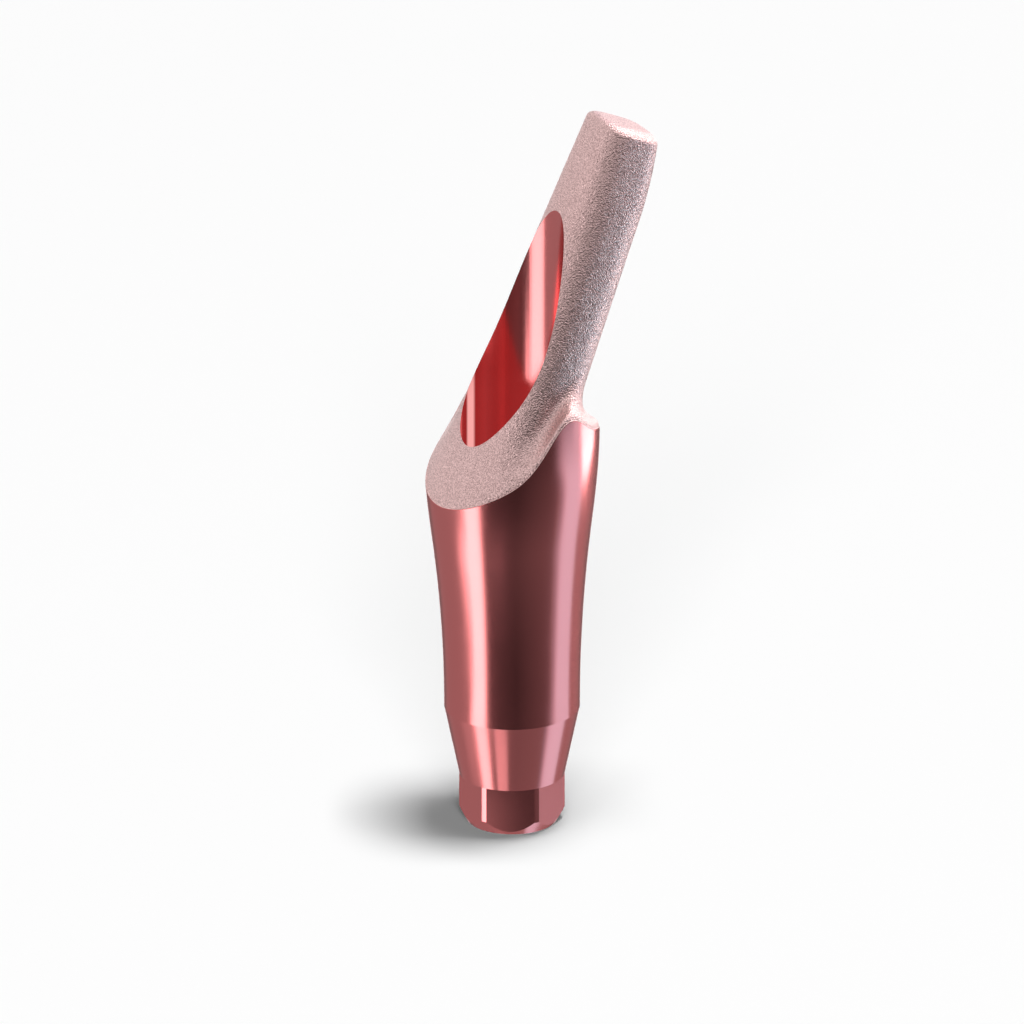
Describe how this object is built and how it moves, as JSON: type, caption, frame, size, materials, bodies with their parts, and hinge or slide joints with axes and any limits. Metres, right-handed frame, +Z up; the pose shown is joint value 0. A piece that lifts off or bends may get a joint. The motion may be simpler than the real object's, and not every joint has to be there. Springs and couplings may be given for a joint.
{
  "type": "dental abutment",
  "caption": "Angled dental implant abutment: hexagonal end, tapered seat, flared collar with a scalloped margin, and a tilted post whose screw channel opens on its facial side",
  "frame": {"origin": "centre of the hexagon's end face, on the implant axis", "axes": "+Z up the implant axis, +X the side that the post leans to, square to a flat of the hexagon; -X is the facial side that the screw channel opens on"},
  "size_m": [0.0054, 0.004, 0.0165],
  "materials": {
    "anodised_titanium": "rose anodised titanium, polished on the collar, seat, hexagon and channel, fine blasted matt on the shoulder and post"
  },
  "bodies": {
    "root": {"angled_abutment": "anodised_titanium"}
  },
  "joints": []
}
